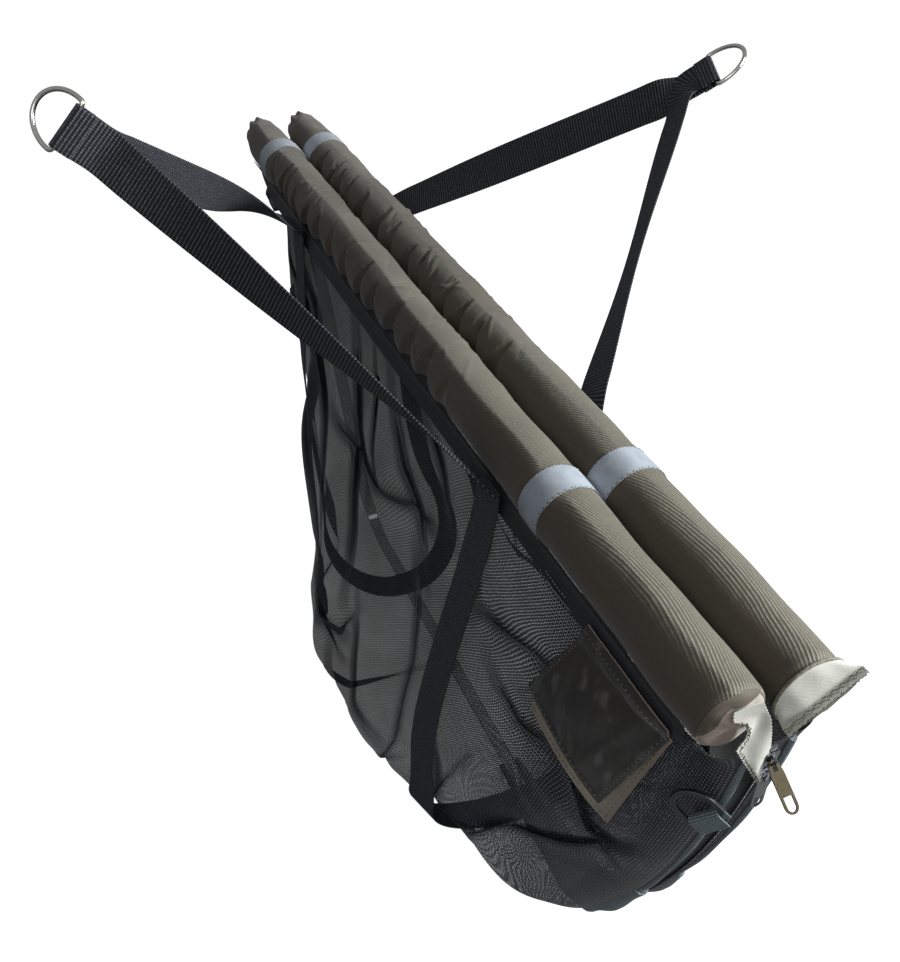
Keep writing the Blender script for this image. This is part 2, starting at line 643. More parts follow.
NET_LENGTH = 0.98
NET_DEPTH = 0.613
LEFT_PLEATS = (
    (0.015, 1.0, ((0.07, 0.00), (0.13, 0.20), (0.20, 0.42), (0.26, 0.60))),
    (0.013, 1.0, ((0.15, 0.00), (0.20, 0.16), (0.27, 0.30), (0.31, 0.46))),
    (0.012, 1.0, ((0.335, 0.245), (0.4375, 0.24), (0.4925, 0.24), (0.555, 0.2075), (0.60, 0.19))),
    (0.013, 0.9, ((0.48, 0.00), (0.49, 0.07), (0.54, 0.16), (0.5775, 0.20), (0.61, 0.25))),
    (0.012, 0.9, ((0.42, 0.00), (0.4225, 0.0375), (0.445, 0.1425), (0.4675, 0.23))),
    (0.011, 0.8, ((0.54, 0.00), (0.5475, 0.05), (0.605, 0.095), (0.64, 0.13))),
    (0.014, 0.9, ((0.35, 0.00), (0.37, 0.12), (0.41, 0.24), (0.44, 0.36), (0.45, 0.46))),
    (0.013, 1.0, ((0.25, 0.62), (0.2925, 0.6425), (0.3825, 0.645), (0.4725, 0.5775))),
    (0.011, 0.9, ((0.33, 0.53), (0.34, 0.6375), (0.4475, 0.5925), (0.4925, 0.505))),
    (0.011, 0.9, ((0.73, 0.20), (0.76, 0.185), (0.8225, 0.1375), (0.86, 0.13))),
    (0.011, 0.9, ((0.79, 0.25), (0.81, 0.255), (0.835, 0.26), (0.8725, 0.2425))),
    (0.013, 1.0, ((0.89, 0.24), (0.9125, 0.2875), (0.9475, 0.37), (0.985, 0.385))),
    (0.014, 0.9, ((0.50, 0.50), (0.5225, 0.57), (0.5575, 0.66), (0.6225, 0.655))),
    (0.014, 1.0, ((0.80, 0.74), (0.845, 0.68), (0.8825, 0.49), (0.9425, 0.425), (0.9775, 0.33))),
    (0.012, 0.8, ((0.60, 0.28), (0.65, 0.42), (0.67, 0.60), (0.66, 0.78))),
    (0.012, 0.8, ((0.71, 0.42), (0.75, 0.55), (0.77, 0.72), (0.74, 0.90))),
    (0.012, 0.8, ((0.46, 0.66), (0.50, 0.78), (0.47, 0.92))),
    (0.011, 0.8, ((0.18, 0.70), (0.30, 0.76), (0.40, 0.80))),
    (0.010, 0.8, ((0.66, 0.00), (0.69, 0.08), (0.71, 0.18))),
)
RIGHT_PLEATS = (
    (0.014, 1.0, ((0.10, 0.00), (0.14, 0.30), (0.20, 0.55), (0.26, 0.80))),
    (0.013, 0.9, ((0.20, 0.00), (0.24, 0.22), (0.32, 0.44), (0.34, 0.66))),
    (0.013, 0.9, ((0.38, 0.00), (0.43, 0.20), (0.44, 0.42))),
    (0.012, 0.9, ((0.48, 0.00), (0.52, 0.16), (0.60, 0.26), (0.66, 0.30))),
    (0.013, 0.8, ((0.58, 0.05), (0.60, 0.30), (0.56, 0.55), (0.58, 0.85))),
    (0.013, 0.9, ((0.74, 0.00), (0.78, 0.20), (0.76, 0.42), (0.82, 0.66))),
    (0.012, 0.8, ((0.86, 0.06), (0.88, 0.30), (0.94, 0.46))),
    (0.012, 0.9, ((0.30, 0.66), (0.42, 0.72), (0.56, 0.68))),
    (0.012, 0.8, ((0.68, 0.56), (0.70, 0.72), (0.64, 0.88))),
    (0.012, 0.8, ((0.86, 0.78), (0.90, 0.58), (0.96, 0.44))),
)


def pleated(along, down, pleats):
    """Shifts a wall's shares so that it doubles back on itself at each pleat, and the depth there."""
    east = along * NET_LENGTH
    south = down * NET_DEPTH
    shift_east = np.zeros_like(east)
    shift_south = np.zeros_like(east)
    depth = np.zeros_like(east)
    layers = np.zeros_like(east)
    for size, weight, line in pleats:
        points = np.array(line) * (NET_LENGTH, NET_DEPTH)
        t = np.linspace(0, 1, 60)
        knots = np.linspace(0, 1, len(points))
        path = np.stack([np.interp(t, knots, points[:, k]) for k in range(2)], axis=1)
        for _ in range(6):
            path[1:-1] = (path[:-2] + 2 * path[1:-1] + path[2:]) / 4
        run = unit(np.gradient(path, axis=0))
        close = np.where((east > path[:, 0].min() - 0.05) & (east < path[:, 0].max() + 0.05)
                         & (south > path[:, 1].min() - 0.05) & (south < path[:, 1].max() + 0.05))[0]
        if len(close) == 0:
            continue
        gap_e = east[close, None] - path[None, :, 0]
        gap_s = south[close, None] - path[None, :, 1]
        nearest = np.argmin(gap_e ** 2 + gap_s ** 2, axis=1)
        rows = np.arange(len(close))
        gap_e, gap_s, run = gap_e[rows, nearest], gap_s[rows, nearest], run[nearest]
        aside = gap_s * run[:, 0] - gap_e * run[:, 1]
        beyond = gap_e * run[:, 0] + gap_s * run[:, 1]
        ends = np.exp(-(beyond / (2 * size)) ** 2) * weight
        live = np.sin(math.pi * np.clip(t[nearest] * 0.94 + 0.03, 0, 1)) ** 0.5 * ends
        starts_at_hem = path[0, 1] < 0.01
        if starts_at_hem:
            live = np.where(t[nearest] < 0.5, ends * ease(0.0, 0.12, south[close]), live)
        a = aside / size
        fold = a * np.exp(-a * a)
        move = -2.3 * fold * live * size
        shift_east[close] -= move * run[:, 1]
        shift_south[close] += move * run[:, 0]
        depth[close] += live * size * (fold - 0.5 * np.exp(-(a / 1.7) ** 2))
        layers[close] = np.maximum(layers[close], np.sqrt(live) * np.exp(-(a / 0.95) ** 4))
    return along + shift_east / NET_LENGTH, down + shift_south / NET_DEPTH, depth, layers


MESH_CELL = 0.0037
MESH_ROWS = (((0.0, 0.0, 0), (1, 1, 0)), ((0.5, 0.5, 0), (1, 1, 0)), ((0.5, 0.0, 0), (0.75, 1.5, 0)))


def vector_math(tree, kind, *inputs):
    """The output of a Vector Math node."""
    made = node(tree, "ShaderNodeVectorMath", dict(enumerate(inputs)), operation=kind)
    return made.outputs["Value" if kind == "LENGTH" else "Vector"]


def netting_stuff(name, widest, narrowest):
    """Knitted netting: thread round rows of holes that open a little towards the bottom."""
    net = Stuff(name, (0.012, 0.014, 0.018), 0.5)
    inputs = {"Vector": net.chart(), "Scale": 170, "Detail": 1.0}
    wobble = node(net.tree, "ShaderNodeTexNoise", inputs).outputs["Color"]
    loose = vector_math(net.tree, "MULTIPLY_ADD", wobble, (0.0009, 0.0009, 0), net.chart())
    gaps = []
    for start, stretch in MESH_ROWS:
        inputs = {"Vector": loose, "Scale": (1 / MESH_CELL, 1 / MESH_CELL, 1), "Location": start}
        scaled = node(net.tree, "ShaderNodeMapping", inputs).outputs["Vector"]
        inside = vector_math(net.tree, "FRACTION", scaled)
        centred = vector_math(net.tree, "SUBTRACT", inside, (0.5, 0.5, 0))
        pulled = vector_math(net.tree, "MULTIPLY", centred, stretch)
        gaps.append(Field(vector_math(net.tree, "LENGTH", pulled)))
    centre = gaps[0].math("MINIMUM", gaps[1])
    x, _, z = net.split(net.place)
    cloud = net.noise(15, 3)
    open_share = z.ramp(-0.62, -0.27, widest, narrowest) + (cloud - 0.5) * 0.06
    open_share = open_share + net.attribute("gathered") * -0.13 - x.ramp(0.36, 0.47, 0.0, 0.105)
    open_share = open_share.math("MAXIMUM", 0.02)
    alpha = (centre - open_share).ramp(-0.06, 0.06)
    even = open_share * open_share * (-2 * math.pi) + 1.0
    sharp = x.ramp(0.10, 0.44, 0.18, 0.95)
    tint = cloud.ramp(0.35, 0.65).mix((0.009, 0.010, 0.013), (0.018, 0.022, 0.028))
    knots = gaps[2].ramp(0.07, 0.21, 1.0, 0.0) * x.ramp(0.10, 0.45, 0.04, 1.0)
    net.feed({"Specular IOR Level": 0.4, "Alpha": (alpha - even) * sharp + even,
              "Base Color": knots.mix(tint, (0.50, 0.56, 0.66))})
    net.relief(centre, 0.0010, 0.3)
    return net.material


NET_CUT = (1.08, 0.66)
NET_NODES = [part + "_" + level + "_netting"
             for part in ("far", "middle", "near") for level in ("flank", "belly")]
netting = netting_stuff("knitted_netting", 0.205, 0.140)
for side_name, side in SIDES:
    net, share_x, share_y = cloth_grid(side_name + "_netting", 440, 190, *NET_CUT)
    along = 0.45 * share_x + 0.55 * (1 - np.cos(math.pi * share_x)) / 2
    along_to, down_to, sink, layers = pleated(along, share_y, LEFT_PLEATS if side < 0 else RIGHT_PLEATS)
    inner = ease(0.0, 0.05, share_y) * (1 - ease(0.95, 1.0, share_y))
    inner = inner * ease(0, 0.03, along) * (1 - ease(0.97, 1, along))
    swing = side * 1.7
    sway = (0.0042 * np.sin(along * 19 + 4 * share_y + swing)
            + 0.003 * np.sin(along * 37 - 6 * share_y + 2 * swing)
            + 0.002 * np.sin(along * 11 + 17 * share_y + swing) - 0.006)
    along_to = np.clip(along + (along_to - along) * inner, 0, 1)
    down_to = np.clip(share_y + (down_to - share_y) * inner, 0, 1)
    lay(net, net_surface(side, along_to, down_to, (sink + sway) * inner))
    gathered = net.data.attributes.new("gathered", "FLOAT", "POINT")
    doubled = np.maximum(layers * inner, 1.2 * (1 - ease(0.012, 0.040, share_y)))
    gathered.data.foreach_set("value", doubled.astype(np.float32))
    mend(net)
    bpy.ops.object.shade_smooth()
    net.data.materials.append(netting)
    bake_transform(net)
    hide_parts(*[side_name + "_" + part for part in NET_NODES])

HEM_LENGTH = 1.05
HEM_ON_FLOAT = 0.6
hem_black = Stuff("hem_tape", (0.009, 0.010, 0.012), 0.6)
hem_black.feed({"Base Color": hem_black.noise(420, 2).mix((0.006, 0.007, 0.009), (0.026, 0.028, 0.032))})
for side_name, side in SIDES:
    tape, across, along = cloth_grid(side_name + "_hem_tape", 20, 400, 0.024, HEM_LENGTH)
    upper_share = np.clip(across / HEM_ON_FLOAT, 0, 1)
    from_top = -side * np.radians(116 + 24 * upper_share)
    down = 0.030 * np.clip((across - HEM_ON_FLOAT) / (1 - HEM_ON_FLOAT), 0, 1)
    lower = net_surface(side, 0.004 + 0.972 * along, down, np.full(len(along), 0.0009))
    reach = sleeve_reach(side, lower[:, 0], from_top) + 0.0004
    reach = reach + (HUG_RADIUS + 0.0007 - reach) * upper_share ** 1.5
    upper_y, upper_z = on_float(side, reach, from_top)
    on_net = across > HEM_ON_FLOAT
    lay(tape, lower[:, 0], np.where(on_net, lower[:, 1], upper_y), np.where(on_net, lower[:, 2], upper_z))
    give_wall(tape, 0.0005)
    dress(tape, hem_black.material, "webbing", side_name + "_side", crease=50)

# Webbing under the bag and up to the rings
# Black polypropylene webbing, 40 mm wide and ribbed across. Two lengths run
# under the netting from float to float, and each carries on as a handle whose
# two legs twist and meet, one on the other, in the fold round the D-ring.
WEB_WIDTH = 0.040
WEB_WALL = 0.0015
WEB_WARPS = 18
HINGE_Y = 0.0605
HINGE_DROP = 0.018
STRAP_LIFT = 0.00315
ALONG = np.array([1.0, 0.0, 0.0])


def length_of(line):
    """The length of a line through points."""
    return np.linalg.norm(np.diff(line, axis=0), axis=1).sum()


def smooth_edges(points, at, count):
    """One edge line at even places along the strip, by a smooth cubic."""
    slopes = np.gradient(points, at, axis=0)
    even = np.linspace(0, at[-1], count)
    i = np.clip(np.searchsorted(at, even, side="right") - 1, 0, len(at) - 2)
    h = (at[i + 1] - at[i])[:, None]
    t = (even - at[i])[:, None] / h
    return ((2 * t ** 3 - 3 * t ** 2 + 1) * points[i] + (t ** 3 - 2 * t ** 2 + t) * slopes[i] * h
            + (-2 * t ** 3 + 3 * t ** 2) * points[i + 1] + (t ** 3 - t ** 2) * slopes[i + 1] * h)


def web_strip(name, left_edge, right_edge, wall, width, columns=12, spacing=0.003):
    """Webbing between two edge lines, given its wall, with softened selvedges."""
    left_edge = np.asarray(left_edge, float)
    right_edge = np.asarray(right_edge, float)
    middle = (left_edge + right_edge) / 2
    length = length_of(middle)
    rows = max(4, int(length / spacing))
    at = np.concatenate([[0], np.cumsum(np.linalg.norm(np.diff(middle, axis=0), axis=1))])
    left_line = smooth_edges(left_edge, at, rows + 1)
    right_line = smooth_edges(right_edge, at, rows + 1)
    strip, across, along = cloth_grid(name, columns, rows, width, length)
    line = np.rint(along * rows).astype(int)
    lay(strip, left_line[line] * (1 - across[:, None]) + right_line[line] * across[:, None])
    mend(strip, FINE_WELD)
    give_wall(strip, wall)
    edge = strip.modifiers.new("selvedge", "BEVEL")
    edge.width = wall * 0.3
    edge.segments = 2
    edge.limit_method = "ANGLE"
    edge.angle_limit = math.radians(60)
    bpy.ops.object.modifier_apply(modifier=edge.name)
    return strip, length


def webbing_stuff(name, colour, light, width, rib_pitch=0.0033):
    """Woven webbing: ribs across it, broken into rows of warp, and plain selvedges."""
    web = Stuff(name, colour, 0.72)
    across, along, _ = web.split(web.chart())
    column = across.math("DIVIDE", width / WEB_WARPS).math("FLOOR")
    ribs = (along + column.math("MODULO", 2.0) * (rib_pitch / 2)).wave(rib_pitch) * 0.5 + 0.5
    plain = along.wave(rib_pitch) * 0.5 + 0.5
    share = plain.math("POWER", 4.0) * web.noise(700, 2).ramp(0.3, 0.7, 0.3, 1)
    web.feed({"Specular IOR Level": 0.30, "Sheen Weight": 0.06, "Sheen Tint": (0.75, 0.85, 1.0),
              "Base Color": share.mix(colour, light)})
    web.relief(plain * 0.9 + ribs * 0.45 + across.wave(width / WEB_WARPS) * 0.2, 0.0006, 0.9)
    return web.material


web_black = webbing_stuff("black_webbing", (0.0060, 0.0066, 0.0088), (0.150, 0.160, 0.185), WEB_WIDTH)
for side_name, side in SIDES:
    for which, name in enumerate((side_name + "_far", side_name + "_near")):
        top_y = side * (HINGE_Y - WEB_WALL - 0.0003)
        top = np.array([STRAP_LINES[side][which][0], top_y, FLOAT_AXIS_Z - HINGE_DROP])
        centres = [top + [0, 0, 0.004], top - [0, 0, 0.004]]
        flats = [ALONG, ALONG]
        for down in [*np.linspace(0.08, FLANK_SHARE - 0.03, 12), *np.linspace(FLANK_SHARE, 0.985, 12)]:
            down = np.array([down])
            drop = FLOAT_AXIS_Z - net_place(side, np.array([0.5]), down)[0, 2]
            start = far_end(drop)
            reach = near_end(drop) - start
            share = (strap_x(side, which, drop) - start) / reach
            half = WEB_WIDTH / 2 / reach
            lift = np.array([STRAP_LIFT])
            before, centre, after = [net_surface(side, np.array([share + step]), down, lift)[0]
                                     for step in (-half, 0, half)]
            centres.append(centre)
            flats.append(unit(after - before))
        last = centres[-1]
        centres.append(np.array([last[0], side * 0.0002, last[2] - 0.0004]))
        flats.append(ALONG)
        centres = np.array(centres)
        halves = np.array(flats) * WEB_WIDTH / 2
        strap, length = web_strip(name + "_belly_web", centres - halves, centres + halves,
                                  WEB_WALL, WEB_WIDTH)
        dress(strap, web_black, "webbing", side_name + "_side", name + "_belly_strap", crease=50)

APEX = {-1: np.array([0, -0.304, 0.226 + FLOAT_AXIS_Z]), 1: np.array([0, 0.309, 0.194 + FLOAT_AXIS_Z])}
TAB_TURN = math.radians(24)
GATHER = 0.030
STACK_HALF = (WEB_WALL + 0.0007) / 2
RING_WIRE = 0.0021


def handle_axes(side):
    """Directions of a handle: outwards from the float, and square to its plane."""
    foot = np.array([0, side * HINGE_Y, FLOAT_AXIS_Z - HINGE_DROP])
    out = unit(APEX[side] - foot)
    square = np.cross(out, ALONG)
    return out, square if square[2] > 0 else -square


def ring_seat(side):
    """Bar centre, bar direction, outward direction and stack axis of a ring's seat."""
    out, square = handle_axes(side)
    if side < 0:
        return APEX[side], square, out, ALONG
    turned = out * math.cos(TAB_TURN) + ALONG * math.sin(TAB_TURN)
    bar = ALONG * math.cos(TAB_TURN) - out * math.sin(TAB_TURN)
    return APEX[side], bar, turned, square


def handle_leg(side, foot_x, stack, twists, pace):
    """Centres and width directions of one leg from its foot to the gather."""
    square = handle_axes(side)[1]
    apex, gather_across, out, stack_axis = ring_seat(side)
    foot = np.array([foot_x, side * HINGE_Y, FLOAT_AXIS_Z - HINGE_DROP])
    gather = apex - out * GATHER + stack_axis * stack
    run = unit(gather - foot)
    flat = unit(ALONG - run * run.dot(ALONG))
    centres, widths = [], []
    for share in np.linspace(0.07, 0.93, 17):
        t = min(1.0, share / pace)
        t = t * t * (3 - 2 * t) if pace < 1 else t
        pull = 2 * twists[1] - (twists[0] + twists[2]) / 2
        twist = twists[0] * (1 - t) ** 2 + 2 * pull * t * (1 - t) + twists[2] * t ** 2
        centres.append(foot + (gather - foot) * share)
        widths.append(flat * math.cos(twist) + square * math.sin(twist))
    centres.append(gather)
    widths.append(gather_across)
    return foot, run, centres, widths


def handle_edges(side, far_twists, near_twists, far_pace, near_pace):
    """Both edge lines of a handle: up one leg, round in the tab, down the other."""
    apex, gather_across, out, stack_axis = ring_seat(side)
    far_foot, far_run, far_centres, far_widths = handle_leg(
        side, STRAP_LINES[side][0][0], -STACK_HALF, far_twists, far_pace)
    near_foot, near_run, near_centres, near_widths = handle_leg(
        side, STRAP_LINES[side][1][0], STACK_HALF, near_twists, near_pace)
    turn_centre = apex - out * (0.007 + STACK_HALF)
    turn = [turn_centre - stack_axis * STACK_HALF * math.cos(angle) + out * STACK_HALF * math.sin(angle)
            for angle in np.linspace(0, math.pi, 7)]
    centres = np.array(far_centres + turn + near_centres[::-1])
    widths = far_widths + [gather_across] * len(turn) + near_widths[::-1]
    for i in range(1, len(widths)):
        if widths[i].dot(widths[i - 1]) < 0:
            widths[i] = -widths[i]
    widths = np.array(widths)
    runs = unit(np.gradient(centres, axis=0))
    widths = unit(widths - runs * np.sum(widths * runs, axis=1, keepdims=True)) * WEB_WIDTH / 2
    left_edge = list(centres - widths)
    right_edge = list(centres + widths)
    for foot, run, place in ((far_foot, far_run, 0), (near_foot, near_run, len(left_edge) + 1)):
        slant = np.linalg.norm(ALONG - run * run.dot(ALONG))
        half = ALONG * WEB_WIDTH / 2 / slant
        neighbour = 0 if place == 0 else -1
        if (right_edge[neighbour] - left_edge[neighbour]).dot(ALONG) < 0:
            half = -half
        left_edge.insert(place, foot - half)
        right_edge.insert(place, foot + half)
    return left_edge, right_edge


def fold_line(centre, face, out, skin, far, near):
    """The line of a fold round a bar: up one face, round the bar and back down the other."""
    line = [face * skin - out * far, face * skin - out * near]
    line += [face * skin * math.cos(angle) + out * skin * math.sin(angle)
             for angle in np.linspace(0, math.pi, 13)]
    line += [-face * skin - out * near, -face * skin - out * far]
    return centre + np.array(line)


TWISTS = {-1: (np.radians((0, 45, 90)), np.radians((0, 45, 90)), 0.62, 1.0),
          1: (np.radians((-12, -35, -30)), np.radians((18, 38, 28)), 0.85, 0.85)}
for side_name, side in SIDES:
    handle, length = web_strip(side_name + "_handle_web", *handle_edges(side, *TWISTS[side]),
                               WEB_WALL, WEB_WIDTH, 12, 0.0025)
    dress(handle, web_black, "webbing", side_name + "_handle", side_name + "_handle", crease=50)
    centre, bar, out, stack_axis = ring_seat(side)
    line = fold_line(centre, stack_axis, out, RING_WIRE + 0.0004 + WEB_WALL / 2, 0.014, 0.007)
    fold, length = web_strip(side_name + "_ring_fold", line - bar * WEB_WIDTH / 2, line + bar * WEB_WIDTH / 2,
                             WEB_WALL, WEB_WIDTH, 12, 0.0008)
    dress(fold, web_black, "webbing", side_name + "_handle", side_name + "_ring_tab", crease=50)

# D-rings
# Two D-rings of bent and welded steel wire, nickel plated. Each one's straight
# bar lies in the webbing's fold, and it turns there.
RING_INSIDE_HALF = 0.0215 + RING_WIRE
RING_SHOULDER = 0.005
RING_DEPTH = 0.034
RING_CORNER = 0.0032
RING_TILTS = {-1: math.radians(-50), 1: 0.0}
nickel = Stuff("nickel", (0.62, 0.60, 0.56), 0.2, 1.0)
nickel_marks = nickel.noise(260, 5, 0.7)
nickel.feed({"Roughness": nickel_marks.ramp(0.3, 0.75, 0.14, 0.34),
             "Base Color": nickel.noise(60).mix((0.52, 0.49, 0.44), (0.70, 0.69, 0.66))})
nickel.relief(nickel_marks, 0.00015, 0.4)


def wire_loop(name, path, radius, sides=16, half_wall=None):
    """A ring primitive whose turns are laid on a closed path, round or with rounded corners."""
    path = np.asarray(path, float)
    choose()
    bpy.ops.mesh.primitive_torus_add(major_segments=len(path), minor_segments=sides, major_radius=1,
                                     minor_radius=0.1)
    loop = bpy.context.object
    loop.name = name
    loop.data.name = name
    co = np.array([v.co for v in loop.data.vertices])
    turn = np.arctan2(co[:, 1], co[:, 0]) % (2 * math.pi)
    index = np.rint(turn / (2 * math.pi) * len(path)).astype(int) % len(path)
    outward = (np.hypot(co[:, 0], co[:, 1]) - 1) / 0.1
    upward = co[:, 2] / 0.1
    if half_wall:
        outward = np.sign(outward) * np.abs(outward) ** 0.45
        upward = np.sign(upward) * np.abs(upward) ** 0.45 * half_wall / radius
    run = unit(np.roll(path, -1, axis=0) - np.roll(path, 1, axis=0))
    plane = unit(np.cross(path[len(path) // 3] - path[0], path[2 * len(path) // 3] - path[0]))
    side_way = unit(np.cross(run, plane))
    off = side_way[index] * (outward * radius)[:, None] + plane * (upward * radius)[:, None]
    lay(loop, path[index] + off)
    if half_wall:
        rim = loop.data.attributes.new("rim", "FLOAT", "POINT")
        square = np.abs(outward * upward) * radius / half_wall
        rim.data.foreach_set("value", np.clip((square - 0.62) * 4, 0, 1).astype(np.float32))
    mend(loop, FINE_WELD)
    return loop


def d_path(centre, bar, reach, half, corner, shoulder, rise, straight, cut, turns, bow):
    """The closed line of a D: its straight bar, a corner, the bow and the other corner."""
    spots = [(aside, 0.0) for aside in straight]
    spots += [(half - corner + corner * math.cos(angle), corner + corner * math.sin(angle))
              for angle in np.linspace(cut - math.pi / 2, 0, turns)]
    spots += [(half * math.cos(angle), shoulder + rise * math.sin(angle)) for angle in bow]
    spots += [(corner - half + corner * math.cos(angle), corner + corner * math.sin(angle))
              for angle in np.linspace(math.pi, 1.5 * math.pi - cut, turns)]
    return [centre + bar * aside + reach * away for aside, away in spots]


for side_name, side in SIDES:
    centre, bar, out, stack_axis = ring_seat(side)
    reach = out * math.cos(RING_TILTS[side]) + np.cross(bar, out) * math.sin(RING_TILTS[side])
    straight = np.linspace(-1, 1, 14)[1:-1] * (RING_INSIDE_HALF - RING_CORNER)
    bend = d_path(centre, bar, reach, RING_INSIDE_HALF, RING_CORNER, RING_SHOULDER,
                  RING_DEPTH - RING_SHOULDER, straight, 0.0, 6, np.linspace(0.05, math.pi - 0.05, 44))
    ring = wire_loop(side_name + "_d_ring", bend, RING_WIRE, 20)
    dress(ring, nickel.material, "nickel", side_name + "_ring", side_name + "_ring")

# Seam bindings
# A fine see-through tape is sewn over the bag's raw edges, up the far end and along
# the bottom. Towards the zip a dark teal-grey ribbed tape takes its place, and a
# roll of it runs on up each wall beside the zip.
BIND_HALF = 0.016
SIDEWAYS = np.array([0.0, 1.0, 0.0])
ZIP_START = math.asin((-ZIP_TOP[1] - ZIP_Z) / ZIP_ARC)
ZIP_LENGTH = (ZIP_START - math.asin((-ZIP_LOW[1] - ZIP_Z) / ZIP_ARC)) * ZIP_ARC


def smooth_through(points, count):
    """That many points, evenly spaced, on a smooth curve through the given ones."""
    points = np.asarray(points, float)
    gaps = np.linalg.norm(np.diff(points, axis=0), axis=1) ** 0.5
    knots = np.concatenate([[0], np.cumsum(gaps)])
    padded = np.vstack([2 * points[0] - points[1], points, 2 * points[-1] - points[-2]])
    times = np.concatenate([[-gaps[0]], knots, [knots[-1] + gaps[-1]]])
    fine = []
    for t in np.linspace(0, knots[-1], count * 4):
        i = min(max(np.searchsorted(knots, t, side="right") - 1, 0), len(points) - 2) + 1
        p0, p1, p2, p3 = padded[i - 1:i + 3]
        t0, t1, t2, t3 = times[i - 1:i + 3]
        a1 = (t1 - t) / (t1 - t0) * p0 + (t - t0) / (t1 - t0) * p1
        a2 = (t2 - t) / (t2 - t1) * p1 + (t - t1) / (t2 - t1) * p2
        a3 = (t3 - t) / (t3 - t2) * p2 + (t - t2) / (t3 - t2) * p3
        b1 = (t2 - t) / (t2 - t0) * a1 + (t - t0) / (t2 - t0) * a2
        b2 = (t3 - t) / (t3 - t1) * a2 + (t - t1) / (t3 - t1) * a3
        fine.append((t2 - t) / (t2 - t1) * b1 + (t - t1) / (t2 - t1) * b2)
    fine = np.array(fine)
    run = np.concatenate([[0], np.cumsum(np.linalg.norm(np.diff(fine, axis=0), axis=1))])
    even = np.linspace(0, run[-1], count)
    return np.stack([np.interp(even, run, fine[:, k]) for k in range(3)], axis=1)


def seam_frame(line):
    """The outward directions along a line on the seam, and half the binding's width there."""
    out = unit(np.cross(unit(np.gradient(line, axis=0)), SIDEWAYS))
    middle = np.array([0.0, 0.0, FLOAT_AXIS_Z - 0.2])
    out *= np.sign(np.sum(out * (line - middle), axis=1, keepdims=True))
    narrow = NARROW_EDGE + 0.0010
    return out, narrow + (BIND_HALF - narrow) * ease(0.32, 0.40, line[:, 0])


def binding_strip(name, centres, crown):
    """A tape bent over a seam: its middle stands out and its edges lie on the netting."""
    length = length_of(np.asarray(centres, float))
    rows = max(8, int(length / 0.002))
    line = smooth_through(centres, rows + 1)
    out, half = seam_frame(line)
    width = 2 * float(half.mean())
    tape, across, along = cloth_grid(name, 16, rows, width, length)
    index = np.rint(along * rows).astype(int)
    share = 2 * across - 1
    rise = crown * (1 - share ** 2) + 0.0002 * np.sin(along * length * 900)
    lay(tape, line[index] + SIDEWAYS * (share * half[index])[:, None] + out[index] * rise[:, None])
    mend(tape, FINE_WELD)
    give_wall(tape, 0.0006)
    tape.data.materials.append(seam_netting)
    return tape, length, width


def end_line(drops, edge):
    """Points of the seam in the middle plane at some drops, on an end of the bag."""
    return [[float(edge(drop)), 0, FLOAT_AXIS_Z - drop] for drop in drops]


def zip_place(run, lift=0.0):
    """Place, outward normal and downward run at a length along the zip."""
    angle = ZIP_START - run / ZIP_ARC
    out = np.array([math.cos(angle), 0, math.sin(angle)])
    down = np.array([math.sin(angle), 0, -math.cos(angle)])
    return np.array([ZIP_X, 0, FLOAT_AXIS_Z + ZIP_Z]) + out * (ZIP_ARC + lift), out, down


seam_netting = netting_stuff("seam_netting", 0.235, 0.205)
bind_cloth = webbing_stuff("ribbed_binding", (0.115, 0.145, 0.155), (0.43, 0.51, 0.54), 2 * BIND_HALF, 0.0019)
far_line = end_line(np.linspace(0.068, 0.476, 24), far_end)
far_turn = [BAG_DROP - 0.0165 * (1 - math.sin(angle)) for angle in np.linspace(0.1, math.pi / 2, 6)]
near_turn = [BAG_DROP - 0.044 * (1 - math.sin(angle)) for angle in np.linspace(math.pi / 2, 0.0, 8)]
low_line = end_line(far_turn, far_end)
low_line += [[x, 0, FLOAT_AXIS_Z - BAG_DROP] for x in np.linspace(low_line[-1][0] + 0.03, 0.31, 12)]
low_line += end_line(near_turn, near_end)
for name, centres, crown in (("far_end", far_line, 0.0010), ("bottom", low_line, 0.0014)):
    tape, length, width = binding_strip(name + "_tape", centres, crown)
    if name == "bottom":
        tape.data.materials.append(bind_cloth)
        for face in tape.data.polygons:
            face.material_index = 1 if face.center.x > 0.30 else 0
    dress(tape, None, "webbing", "seam", name + "_binding", crease=50)
    width * 1.01

PIPE_ROWS = 259
PIPE_THIN = 0.0026
for side_name, side in SIDES:
    line = [zip_place(run)[0] for run in np.linspace(0.004, ZIP_LENGTH - 0.004, 14)]
    line += [np.array(place) for place in low_line[::-1] if 0.20 < place[0]]
    line = smooth_through(line, PIPE_ROWS + 1)
    length = length_of(line)
    out, half = seam_frame(line)
    low = line[:, 2] < FLOAT_AXIS_Z - 0.30
    thick = 0.0052 * ease(0.0, 0.25, FLOAT_AXIS_Z - 0.12 - line[:, 2]) * low * ease(0.20, 0.33, line[:, 0])
    thick = PIPE_THIN + thick
    roll, around, along = cloth_grid(side_name + "_piping", 14, PIPE_ROWS, 0.019, length)
    index = np.rint(along * PIPE_ROWS).astype(int)
    angle = 2 * math.pi * around
    wave = 1 + 0.16 * np.sin(along * length * 60 + side) + 0.10 * np.sin(along * length * 23)
    reach = (thick[index] * wave)[:, None]
    centre = line[index] + SIDEWAYS * side * (half[index] + 0.0012 + 0.3 * thick[index])[:, None]
    centre -= out[index] * 0.35 * (thick[index] - PIPE_THIN)[:, None]
    lay(roll, centre + (SIDEWAYS * np.cos(angle)[:, None] + out[index] * np.sin(angle)[:, None]) * reach)
    mend(roll, FINE_WELD, fill=True)
    dress(roll, bind_cloth, "webbing", "seam", crease=50)
    math.pi * reach.mean()

